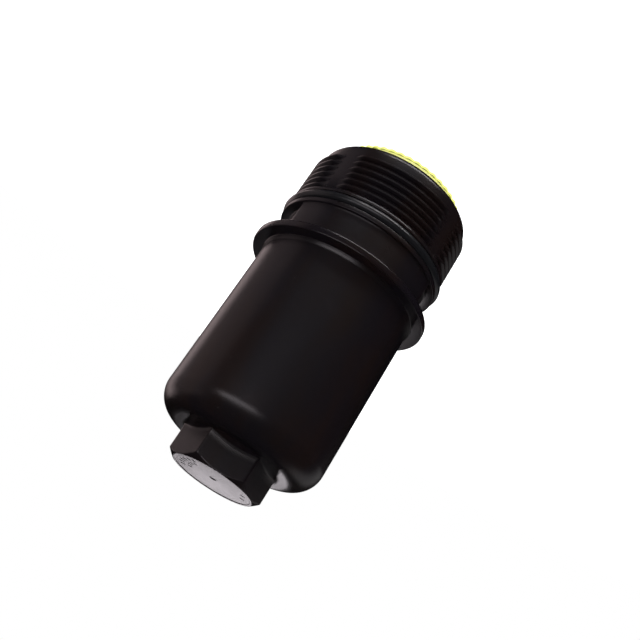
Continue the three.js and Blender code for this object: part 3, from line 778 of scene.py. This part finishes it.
def cap_rings(sizes, top, rim_z):
    """Rings from the middle of the hexagon's end face, down the outside, and up the inside."""
    base = top - sizes.hex_height
    side = hexagon_reach(sizes.hex_flats / 2)
    corner = sizes.hex_flats / 2 / math.cos(math.radians(30))
    flat = sizes.hex_flats / 2 + 0.1 * MM
    slope = sizes.hex_chamfer / (corner - flat)
    face = lambda inset: lambda a: min(flat, side(a)) - inset
    drop = lambda more: lambda a: top - max(0.0, side(a) - flat) * slope - more
    steps = CAP_STEPS
    level = lambda r, z: ring(r, z, steps)
    gate, dish_radius, recess, dish = 1.25 * MM, 14.4 * MM, 0.20 * MM, 0.42 * MM
    dished = lambda r: top - recess - dish * (1 - (r / dish_radius) ** 2)
    rings = [[Vector((0, 0, dished(0) - 0.30 * MM))]]
    for share, sunk in ((0.5, 0.28), (0.85, 0.20), (1.0, 0.04), (1.1, 0.012), (1.3, 0.0)):
        rings.append(level(gate * share, dished(gate * share) - sunk * MM))
    rings += [level(r * MM, dished(r * MM)) for r in (3, 5, 7, 9, 11, 12.5, 13.7, 14.4)]
    border = 1.05 * MM
    rings += [level(face(border + 0.12 * MM), top - recess),
              level(face(border + 0.02 * MM), top - recess * 0.85),
              level(face(border - 0.06 * MM), top - 0.03 * MM),
              level(face(border - 0.14 * MM), top), level(face(0.22 * MM), top - 0.006 * MM),
              level(face(0.05 * MM), top - 0.04 * MM),
              level(lambda a: side(a) - 0.06 * MM, drop(0.04 * MM)),
              level(side, drop(0.14 * MM)), level(side, drop(0.6 * MM))]
    dome_radius = sizes.cup_top - sizes.shoulder
    fall = lambda r: sizes.dome_fall * r / dome_radius
    foot_height, foot_width = 0.95 * MM, 0.62 * MM
    apothem, skirt_height, skirt_width = sizes.hex_flats / 2, sizes.skirt, 3.4 * MM
    skirt = lambda r: skirt_height * max(0.0, 1 - (r - apothem) / skirt_width) ** 1.6
    dome_z = lambda reach: base - fall(reach) + skirt(reach)
    for share in (0.35, 0.7):
        rings.append(level(side, lambda a, s=share: (
            top + (dome_z(side(a)) + foot_height - top) * (0.35 + 0.65 * s))))
    for away, rise in ((0.0, 0.95), (0.03, 0.85), (0.12, 0.58), (0.21, 0.30), (0.29, 0.12),
                       (0.42, 0.03), (0.62, 0.0)):
        away, rise = away * MM, rise * MM
        rings.append(level(lambda a, w=away: side(a) + w,
                           lambda a, w=away, u=rise: dome_z(side(a) + w) + u))
    for share in (0.08, 0.17, 0.27, 0.38, 0.5, 0.65, 0.8, 0.95):
        reach = lambda a, s=share: (
            side(a) + foot_width + (dome_radius - side(a) - foot_width) * s)
        rings.append(level(reach, lambda a, f=reach: dome_z(f(a))))
    shoulder_z = base - sizes.dome_fall - sizes.shoulder
    outline = arc(dome_radius, shoulder_z, sizes.shoulder, 88, 0, 18)
    flange_top = rim_z + sizes.flange_top
    fillet = sizes.fillet
    for i in range(1, 5):
        share = i / 5
        outline.append((sizes.cup_top + (sizes.cup_foot - sizes.cup_top) * share,
                        shoulder_z + (flange_top + fillet - shoulder_z) * share))
    flare, root = 0.46 * MM, 0.4 * MM
    outline += [(sizes.cup_foot, flange_top + fillet),
                (sizes.cup_foot + flare * 0.08, flange_top + fillet * 0.86)]
    outline += [(sizes.cup_foot + flare * (0.08 + 0.92 * share),
                 flange_top + fillet * 0.86 + (root - fillet * 0.86) * share)
                for share in (0.3, 0.65, 1.0)]
    outline += arc(sizes.cup_foot + flare + root * 0.97, flange_top + root, root, 194, 270, 5)
    edge, flange = sizes.flange_edge, sizes.cup_foot + sizes.flange_width
    flange_foot = flange_top - sizes.flange_thickness
    outline += arc(flange - edge, flange_top - edge, edge, 90, 0, 5)
    outline += arc(flange - edge, flange_foot + edge, edge, 0, -90, 5)
    rings += [level(r, z) for r, z in outline]
    neck_foot = rim_z + sizes.neck_foot
    flare = 0.5 * MM
    for share, out in ((1.0, flare), (0.985, 0.12 * MM), (0.96, 0.0), (0.75, 0.0), (0.5, 0.0),
                       (0.25, 0.0), (0.04, 0.0), (0.015, 0.12 * MM), (0.0, flare * 0.6)):
        z = neck_foot + (flange_foot - neck_foot) * share
        scale = lambda x, y, o=out: 1 + o / math.hypot(x, y)
        rings.append([Vector((x * scale(x, y), y * scale(x, y), z))
                      for x, y in neck_outline(sizes, share)])
    land, soft = sizes.land, 0.3 * MM
    groove_top, groove_foot = rim_z + sizes.groove_top, rim_z + sizes.groove_foot
    outline = arc(land - soft, neck_foot - soft, soft, 90, 0, 3)
    outline += arc(land - soft, groove_top + soft, soft, 0, -90, 3)
    outline += [(sizes.groove_floor + 0.15 * MM, groove_top),
                (sizes.groove_floor, groove_top - 0.15 * MM),
                (sizes.groove_floor, groove_foot + 0.15 * MM),
                (sizes.groove_floor + 0.15 * MM, groove_foot)]
    outline += arc(land - soft, groove_foot - soft, soft, 90, 0, 3)
    land_foot = groove_foot - sizes.upper_land
    wall = sizes.thread_root
    outline += [(land, land_foot + 0.1 * MM), (land - 0.08 * MM, land_foot - 0.05 * MM),
                (wall + 0.1 * MM, land_foot - (land - wall) + 0.1 * MM),
                (wall, land_foot - (land - wall) - 0.1 * MM)]
    outline += [(wall, rim_z + sizes.rim + step) for step in (12 * MM, 6 * MM, 2 * MM)]
    outline += arc(wall - sizes.rim, rim_z + sizes.rim, sizes.rim, 0, -90, 10)
    outline += [(sizes.bore + 0.5 * MM, rim_z), (sizes.bore, rim_z + 0.5 * MM)]
    ceiling = base - sizes.top_wall
    corner_round = sizes.bore_corner
    outline += [(sizes.bore - 0.1 * MM, rim_z + 30 * MM), (sizes.bore - 0.25 * MM, rim_z + 75 * MM)]
    outline += arc(sizes.bore_top - corner_round, ceiling - corner_round, corner_round, 0, 90, 10)
    spigot_end = ceiling - sizes.spigot_length
    root = 0.8 * MM
    outline += arc(sizes.spigot + root, ceiling - root, root, 90, 180, 4)
    outline += arc(sizes.spigot - 0.25 * MM, spigot_end + 0.25 * MM, 0.25 * MM, 0, -90, 3)
    lead = 0.4 * MM
    outline += [(sizes.spigot_bore + lead, spigot_end), (sizes.spigot_bore, spigot_end + lead),
                (sizes.spigot_bore, top - sizes.hex_end_wall - lead),
                (sizes.spigot_bore - lead, top - sizes.hex_end_wall)]
    rings += [level(r, z) for r, z in outline]
    rings.append([Vector((0, 0, top - sizes.hex_end_wall))])
    return rings


def straight_ridge(sizes):
    """One length of ridge before it is bent: X runs along it, Y out of the wall, Z up."""
    foot, crest = sizes.thread_foot / 2, sizes.thread_crest / 2
    height = sizes.thread_depth + RIDGE_BURIED
    soft = 0.12 * MM
    section = [(0.0, -foot), (height - soft, -crest - soft * 0.5), (height, -crest + soft * 0.4),
               (height, crest - soft * 0.4), (height - soft, crest + soft * 0.5), (0.0, foot)]
    rings = []
    steps = 64
    for i in range(steps + 1):
        x = i / steps - 0.5
        rings.append([Vector((x, out, up)) for out, up in section])
    middle = Vector((0, height / 2, 0))
    first = [Vector((-0.5, 0, 0)) + middle]
    last = [Vector((0.5, 0, 0)) + middle]
    return skin("thread_ridges", [first, *rings, last])


def build_cap(sizes, material):
    low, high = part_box("screw_cap")
    rim_z, top = low.z, high.z
    cap = skin("screw_cap_moulding", cap_rings(sizes, top, rim_z))
    ceiling = top - sizes.hex_height - sizes.top_wall
    step_turn = 2 * math.pi / sizes.flutes
    ridges = straight_ridge(sizes)
    thread_recipe().apply(ridges, {
        "Lengths": sizes.thread_lengths, "Sweep": step_turn - FLUTE_ANGLE,
        "Pitch": sizes.thread_pitch, "Wall": sizes.thread_root - RIDGE_BURIED, "Run-out": 0.10,
        "Step Turn": step_turn, "Step Rise": sizes.thread_pitch / sizes.flutes,
        "Material": material})
    lift = Matrix.Translation((0, 0, rim_z + sizes.thread_start))
    ridges.data.transform(lift @ Matrix.Rotation(math.pi, 4, "Z"))
    carve(cap, ridges, "UNION")
    overlap = 1.0 * MM
    for i in range(sizes.webs):
        low_corner = (sizes.spigot - 0.9 * MM, -sizes.web_half, ceiling - sizes.web_depth)
        high_corner = (sizes.bore_top - sizes.bore_corner / 3, sizes.web_half,
                       ceiling + 0.6 * MM)
        web = block("web", low_corner, high_corner, i * 2 * math.pi / sizes.webs)
        carve(cap, web, "UNION")
    reach = sizes.spigot + overlap
    for i in range(sizes.webs // 2):
        turn = (i + 0.5) * 2 * math.pi / sizes.webs
        port = block("port", (-reach, -sizes.port_half, ceiling - sizes.port_foot),
                     (reach, sizes.port_half, ceiling - sizes.port_top), turn)
        carve(cap, port, "DIFFERENCE")
    carve(cap, tally_marks(top - 0.42 * MM), "DIFFERENCE")
    return cap


def tally_marks(surface):
    """Short straight notches in rows round the end face, as a mould maker's plain tally."""
    mesh = bmesh.new()
    width, depth = 1.0 * MM, 2.2 * MM
    # radius and length in millimetres, first and last angle in degrees, how many
    rows = ((12.2, 2.1, -46, 20, 6), (9.2, 1.7, -34, 14, 4), (12.2, 1.9, 176, 198, 2))
    for radius, bar, first, last, marks in rows:
        for i in range(marks):
            turn = math.radians(first + (last - first) * i / (marks - 1))
            made = bmesh.ops.create_cube(mesh, size=1.0)["verts"]
            place = (Matrix.Rotation(turn, 4, "Z") @ Matrix.Translation((radius * MM, 0, surface))
                     @ Matrix.Diagonal((bar * MM, width, depth, 1.0)))
            bmesh.ops.transform(mesh, matrix=place, verts=made)
    return as_object("tally_marks", mesh)


def build_seal_ring(sizes):
    """Round section with the thin flash line that the mould leaves round its outside."""
    low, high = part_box("housing_seal_ring")
    section = (high.z - low.z) / 2
    middle = (low.z + high.z) / 2
    radius = high.x - section
    outline = []
    steps = 40
    for i in range(steps):
        angle = 2 * math.pi * i / steps
        outline.append((radius + (section - 0.03 * MM) * math.cos(angle),
                        middle + (section - 0.03 * MM) * math.sin(angle)))
    outline[0] = (radius + section, middle)
    return turned("sealing_ring", outline, 256)


# ------------------------------------------------------------------ the filter element
def one_fold(sizes, radius, low, high):
    """One fold of paper, from the middle of one inner fold to the middle of the next."""
    pitch = 2 * math.pi / sizes.pleats
    half = sizes.paper / 2
    crown, root = radius - half, sizes.inner_radius + half
    top_half = sizes.outer_fold / 2 - half
    root_half = sizes.inner_fold / 2 - half
    at = lambda reach, angle: Vector((reach * math.cos(angle), reach * math.sin(angle)))
    root_angle = pitch / 2 - root_half / root
    corners = [at(root, -pitch / 2), at(root, -root_angle), at(crown, -top_half / crown),
               at(crown, top_half / crown), at(root, root_angle), at(root, pitch / 2)]
    line = [corners[0]]
    for before, corner, after in zip(corners, corners[1:], corners[2:]):
        back = (before - corner).normalized()
        ahead = (after - corner).normalized()
        reach = min(sizes.fold_rounding, (before - corner).length * 0.6,
                    (after - corner).length * 0.45)
        start, end = corner + back * reach, corner + ahead * reach
        for i in range(5):
            t = i / 4
            line.append(start * (1 - t) ** 2 + corner * 2 * t * (1 - t) + end * t * t)
    line.append(corners[-1])
    sides = []
    for i, point in enumerate(line):
        if i in (0, len(line) - 1):
            normal = point.normalized()
        else:
            run = (line[i + 1] - line[i - 1]).normalized()
            normal = Vector((run.y, -run.x))
        sides.append((point + normal * half, point - normal * half))
    mesh = bmesh.new()
    rows = 7
    columns = []
    for outer, inner in sides:
        column = [mesh.verts.new((outer.x, outer.y, low + (high - low) * k / rows))
                  for k in range(rows + 1)]
        column += [mesh.verts.new((inner.x, inner.y, high - (high - low) * k / rows))
                   for k in range(rows + 1)]
        columns.append(column)
    for first, second in zip(columns, columns[1:]):
        for k in range(len(first)):
            j = (k + 1) % len(first)
            mesh.faces.new((first[k], second[k], second[j], first[j]))
    data = bpy.data.meshes.new("paper_pleats")
    mesh.to_mesh(data)
    mesh.free()
    made = bpy.data.objects.new("paper_pleats", data)
    bpy.context.scene.collection.objects.link(made)
    return made


def scalloped_disc(name, node, sizes, hole, outward):
    """A felt disc pressed over the ends of the pleats, so that its face and edge follow them."""
    low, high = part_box(node)
    radius, pleats, dip = high.x, sizes.pleats, sizes.scallop
    soft = 0.3 * MM
    lobe = lambda a: 0.5 - 0.5 * math.cos(pleats * a)
    edge = lambda inset: lambda a: radius - inset - dip * lobe(a) ** 1.5
    face_z = high.z if outward > 0 else low.z
    back_z = low.z if outward > 0 else high.z
    dent = lambda share: lambda a: face_z - outward * 0.16 * MM * lobe(a) * share
    steps = sizes.pleats * 12
    level = lambda r, z: ring(r, z, steps)
    rings = [level(hole, back_z), level(hole, face_z - outward * soft),
             level(hole + soft, dent(0.0)), level(hole + 2.4 * MM, dent(0.0))]
    span = radius - 2 * soft - hole - 3.6 * MM
    for share in (0.0, 0.33, 0.66, 1.0):
        rings.append(level(hole + 3.6 * MM + (span - dip) * share, dent(0.5 + 0.5 * share)))
    rings += [level(edge(soft), dent(1.0)),
              level(edge(0.09 * MM), lambda a: dent(1.0)(a) - outward * 0.10 * MM),
              level(edge(0.0), lambda a: dent(1.0)(a) - outward * soft),
              level(edge(0.0), back_z + outward * 0.1 * MM), level(edge(0.1 * MM), back_z)]
    return skin(name, rings, closed=True)


def build_tube(sizes, material):
    low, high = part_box("centre_tube")
    outer, wall = high.x, sizes.tube_wall
    soft = 0.2 * MM
    outline = [(outer - wall, low.z + soft), (outer - wall + soft, low.z), (outer - soft, low.z),
               (outer, low.z + soft), (outer, high.z - soft), (outer - soft, high.z),
               (outer - wall + soft, high.z), (outer - wall, high.z - soft)]
    tube = turned("perforated_tube", outline, 144)
    pitch = (high.z - low.z - sizes.window_bar) / sizes.window_rows
    height = pitch - sizes.window_bar
    middle = low.z + sizes.window_bar + height / 2
    window = rounded_window(outer, wall, sizes.window_width, height, middle)
    around = sizes.windows_around
    window.data.transform(Matrix.Rotation(math.pi / around, 4, "Z"))
    window_recipe().apply(tube, {
        "Rows": sizes.window_rows, "Around": around, "Row Rise": pitch,
        "Step Turn": 2 * math.pi / around, "Window": window, "Material": material})
    discard(window)
    return tube


def rounded_window(radius, wall, width, height, middle):
    """The tool that cuts one window: a bar with rounded edges, lying along X."""
    corner = 1.1 * MM
    outline = []
    for cx, cz, start in ((1, 1, 0), (-1, 1, 90), (-1, -1, 180), (1, -1, 270)):
        for i in range(5):
            angle = math.radians(start + 90 * i / 4)
            outline.append((cx * (width / 2 - corner) + corner * math.cos(angle),
                            cz * (height / 2 - corner) + corner * math.sin(angle)))
    near = (radius - wall) * 0.6
    ends = [[Vector((x, y, middle + z)) for y, z in outline] for x in (near, radius + wall)]
    centre = lambda x: [Vector((x, 0, middle))]
    return skin("window", [centre(near), *ends, centre(radius + wall)])


def build_seal(name, node, bore, body_radius, lip_low, lip_high, lip_radius):
    """A turned rubber bush with a rounded lip."""
    low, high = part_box(node)
    soft = 0.22 * MM
    steps = 3
    outline = []

    def corner(r, z, start, stop, way=1):
        outline.extend(arc(r, z, soft * way, start, stop, steps))
    corner(bore + soft, low.z + soft, 180, 270)
    corner(body_radius - soft, low.z + soft, 270, 360)
    outline.append((body_radius, lip_low))
    corner(lip_radius - soft, lip_low + soft, 270, 360)
    corner(lip_radius - soft, lip_high - soft, 0, 90)
    if lip_high < high.z - soft:
        outline.append((body_radius, lip_high))
        corner(body_radius - soft, high.z - soft, 0, 90)
    corner(bore + soft, high.z - soft, 90, 180)
    return turned(name, outline)


# ------------------------------------------------------------------ operators
class OILFILTER_OT_screw_cap(bpy.types.Operator):
    """Builds the screw cap: hexagon, dome, flange, neck, thread, spigot and webs"""
    bl_idname = "oilfilter.screw_cap"
    bl_label = "Screw Cap"

    def execute(self, context):
        sizes = settings("cap")
        low, _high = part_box("screw_cap")
        nylon = cap_nylon(settings("colours"), sizes, low.z)
        finish_piece(build_cap(sizes, nylon), "cap", nylon, ["screw_cap"])
        return {"FINISHED"}


class OILFILTER_OT_rings(bpy.types.Operator):
    """Builds the housing's sealing ring and dresses the valve body's ring"""
    bl_idname = "oilfilter.rings"
    bl_label = "Sealing Rings"

    def execute(self, context):
        rubber = smooth_rubber("ring_rubber", settings("colours").rubber, 0.30)
        finish_piece(build_seal_ring(settings("cap")), "cap", rubber,
                     ["housing_seal_ring"], 50)
        low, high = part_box("valve_ring")
        section = (high.z - low.z) / 2
        outline = arc(high.x - section, (low.z + high.z) / 2, section, 0, 345, 23)
        finish_piece(turned("valve_sealing_ring", outline, 96), "cap", rubber,
                     ["valve_ring"], 50)
        return {"FINISHED"}


class OILFILTER_OT_pleats(bpy.types.Operator):
    """Builds the pleated paper and dresses the bead along its seam"""
    bl_idname = "oilfilter.pleats"
    bl_label = "Pleated Paper"

    def execute(self, context):
        sizes, colours = settings("element"), settings("colours")
        low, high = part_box("pleated_paper")
        paper = filter_paper(colours)
        sheet = one_fold(sizes, high.x - 0.06 * MM, low.z, high.z)
        pleat_recipe().apply(sheet, {
            "Folds": sizes.pleats, "Step Turn": 2 * math.pi / sizes.pleats,
            "Unevenness": 0.00012, "Material": paper})
        finish_piece(sheet, "element", paper, ["pleated_paper"], 40)
        glue = hot_melt(colours)
        for node in ("seam_bead", "lower_glue_bed", "upper_glue_bed"):
            dress(node, glue)
        return {"FINISHED"}


class OILFILTER_OT_end_discs(bpy.types.Operator):
    """Builds the two felt end discs"""
    bl_idname = "oilfilter.end_discs"
    bl_label = "End Discs"

    def execute(self, context):
        sizes = settings("element")
        felt = pressed_felt(settings("colours"))
        for name, node, hole, outward in (
                ("end_disc_lower", "lower_end_disc", sizes.lower_hole, -1),
                ("end_disc_upper", "upper_end_disc", sizes.upper_hole, 1)):
            disc = scalloped_disc(name, node, sizes, hole, outward)
            finish_piece(disc, "element", felt, [node], 40)
        return {"FINISHED"}


class OILFILTER_OT_centre_tube(bpy.types.Operator):
    """Builds the perforated centre tube"""
    bl_idname = "oilfilter.centre_tube"
    bl_label = "Centre Tube"

    def execute(self, context):
        cage = moulded_nylon("tube_nylon", settings("colours").cage, 0.42)
        tube = build_tube(settings("element"), cage)
        finish_piece(tube, "element", cage, ["centre_tube"])
        return {"FINISHED"}


class OILFILTER_OT_seals(bpy.types.Operator):
    """Builds the element's two rubber seals"""
    bl_idname = "oilfilter.seals"
    bl_label = "Element Seals"

    def execute(self, context):
        rubber = smooth_rubber("seal_rubber", settings("colours").rubber, 0.45)
        low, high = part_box("lower_seal")
        lower = build_seal("seal_lower", "lower_seal", 8.6 * MM, 10.6 * MM,
                           low.z + 1.2 * MM, low.z + 2.4 * MM, high.x)
        finish_piece(lower, "element", rubber, ["lower_seal"])
        low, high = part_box("upper_seal")
        upper = build_seal("seal_upper", "upper_seal", 10.8 * MM, 12.4 * MM,
                           high.z - 0.9 * MM, high.z, high.x)
        finish_piece(upper, "top_seal", rubber, ["upper_seal"])
        return {"FINISHED"}


class OILFILTER_OT_valve(bpy.types.Operator):
    """Builds the bypass valve: body, plate, face, spring and retainer"""
    bl_idname = "oilfilter.valve"
    bl_label = "Bypass Valve"

    def execute(self, context):
        colours, sizes = settings("colours"), settings("valve")
        dress("valve_body", moulded_nylon("valve_nylon", colours.cage, 0.40))
        dress("valve_face", smooth_rubber("face_rubber", colours.rubber, 0.5))
        rolled = plated_steel(colours, "rings")
        dress("valve_plate", rolled)
        dress("valve_retainer", rolled)
        low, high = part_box("valve_spring")
        drawn = plated_steel(colours, "wire")
        mesh = bmesh.new()
        spring = as_object("wound_spring", mesh)
        spring_recipe().apply(spring, {
            "Points": sizes.turns * 36 + 1, "Turns": float(sizes.turns),
            "Radius": sizes.spring_radius, "Foot": low.z + sizes.wire / 2,
            "Height": high.z - low.z - sizes.wire, "Wire": sizes.wire / 2, "Material": drawn})
        finish_piece(spring, "cap", drawn, ["valve_spring"], 50)
        lift = next(j for j in frame["joints"] if j["name"] == "valve_lift")
        travel = max(lift["range_m"])
        keep = (high.z - low.z - travel) / (high.z - low.z)
        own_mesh(spring)
        return {"FINISHED"}


# ------------------------------------------------------------------ the stage
WARM, PLAIN, COOL = (1.0, 0.80, 0.80), (1.0, 0.96, 0.97), (1.0, 0.93, 0.98)
# name, direction from the object, distance, width and height, power, colour
SOFT_LIGHTS = (
    ("right_softbox", (0.62, 0.70, -0.20), 0.9, (0.30, 1.1), 1.25, WARM),
    ("side_softbox", (0.95, 0.10, -0.05), 0.9, (0.70, 1.3), 0.75, WARM),
    ("left_softbox", (-0.66, 0.68, 0.30), 0.9, (0.40, 0.9), 0.36, PLAIN),
    ("end_softbox", (-0.035, 0.92, 0.386), 0.9, (0.15, 0.32), 0.42, COOL),
    ("front_softbox", (0.40, -0.88, 0.135), 1.0, (0.9, 0.20), 1.9, COOL),
    ("low_softbox", (0.02, -0.50, -0.86), 0.9, (0.9, 0.09), 4.4, PLAIN),
)
CAMERA_LENS = 54.65
CAMERA_PLACE = (-0.001149, -0.330486, 0.202163)
CAMERA_ACROSS = (-0.8382, -0.2104, -0.5032)
CAMERA_UPWARD = (0.5454, -0.3233, -0.7733)
CAMERA_BACK = (0.0, -0.9226, 0.3857)


def soft_light(name, direction, distance, size, power, target, colour):
    lamp = bpy.data.lights.new(name, "AREA")
    lamp.shape = "RECTANGLE"
    lamp.size, lamp.size_y = size
    lamp.energy = power
    lamp.color = colour
    made = bpy.data.objects.new(name, lamp)
    bpy.context.scene.collection.objects.link(made)
    away = Vector(direction).normalized()
    made.location = target + away * distance
    made.rotation_mode = "QUATERNION"
    made.rotation_quaternion = away.to_track_quat("Z", "Y")
    made.visible_camera = False
    made.visible_diffuse = False
    return made


class OILFILTER_OT_stage(bpy.types.Operator):
    """Builds the pale floor, the soft lights and the camera"""
    bl_idname = "oilfilter.stage"
    bl_label = "Stage"

    def execute(self, context):
        scene = bpy.context.scene
        scene.view_settings.view_transform = "Standard"
        world = bpy.data.worlds.new("pale_room")
        world.use_nodes = True
        back = next(n for n in world.node_tree.nodes if n.type == "BACKGROUND")
        back.inputs["Color"].default_value = (1.0, 1.0, 1.0, 1.0)
        back.inputs["Strength"].default_value = 1.0
        world.cycles_visibility.glossy = False
        scene.world = world
        self.floor()
        low, high = CAD_BOX
        middle = (low + high) / 2
        for name, direction, distance, size, power, colour in SOFT_LIGHTS:
            soft_light(name, direction, distance, size, power, middle, colour)
        self.camera()
        return {"FINISHED"}

    def floor(self):
        mesh = bmesh.new()
        bmesh.ops.create_circle(mesh, cap_ends=True, segments=96, radius=4.0)
        data = bpy.data.meshes.new("pale_floor")
        mesh.to_mesh(data)
        mesh.free()
        floor = bpy.data.objects.new("pale_floor", data)
        bpy.context.scene.collection.objects.link(floor)
        floor.location.z = CAD_BOX[0].z - FLOOR_DROP
        paint = Paint("pale_floor")
        data.materials.append(paint.done({
            "Base Color": (0.9, 0.9, 0.9, 1.0), "Roughness": 0.9,
            "Emission Color": (1.0, 1.0, 1.0, 1.0), "Emission Strength": 0.9}))
        floor.visible_glossy = False
        floor.visible_shadow = False

    def camera(self):
        lens = bpy.data.cameras.new("view")
        lens.lens = CAMERA_LENS
        lens.sensor_width = 36.0
        lens.clip_start, lens.clip_end = 0.01, 20.0
        made = bpy.data.objects.new("view", lens)
        bpy.context.scene.collection.objects.link(made)
        turn = Matrix((CAMERA_ACROSS, CAMERA_UPWARD, CAMERA_BACK)).transposed().to_4x4()
        made.matrix_world = Matrix.Translation(CAMERA_PLACE) @ turn
        bpy.context.scene.camera = made


OPERATORS = (
    OILFILTER_OT_screw_cap,
    OILFILTER_OT_rings,
    OILFILTER_OT_pleats,
    OILFILTER_OT_end_discs,
    OILFILTER_OT_centre_tube,
    OILFILTER_OT_seals,
    OILFILTER_OT_valve,
    OILFILTER_OT_stage,
)


class OILFILTER_PT_panel(bpy.types.Panel):
    """Lists the filter's pieces and sizes"""
    bl_label = "Oil Filter"
    bl_idname = "OILFILTER_PT_panel"
    bl_space_type = "VIEW_3D"
    bl_region_type = "UI"
    bl_category = "Oil Filter"

    def draw(self, context):
        column = self.layout.column(align=True)
        for operator in OPERATORS:
            column.operator(operator.bl_idname)
        for name in GROUPS:
            group = getattr(context.scene, "oil_filter_" + name)
            box = self.layout.box()
            for key in group.__annotations__:
                box.prop(group, key)


GROUPS = {"cap": CapSizes, "element": ElementSizes, "valve": ValveSizes, "colours": FilterColours}


def register():
    for group in GROUPS.values():
        bpy.utils.register_class(group)
    for name, group in GROUPS.items():
        setattr(bpy.types.Scene, "oil_filter_" + name, bpy.props.PointerProperty(type=group))
    for operator in OPERATORS:
        bpy.utils.register_class(operator)
    bpy.utils.register_class(OILFILTER_PT_panel)


def unregister():
    bpy.utils.unregister_class(OILFILTER_PT_panel)
    for operator in reversed(OPERATORS):
        bpy.utils.unregister_class(operator)
    for name, group in GROUPS.items():
        delattr(bpy.types.Scene, "oil_filter_" + name)
        bpy.utils.unregister_class(group)


def main():
    register()
    for operator in OPERATORS:
        group, name = operator.bl_idname.split(".")
        result = getattr(getattr(bpy.ops, group), name)()
        if result != {"FINISHED"}:
            raise RuntimeError(f"{operator.bl_label} did not finish")


if __name__ == "__main__":
    main()
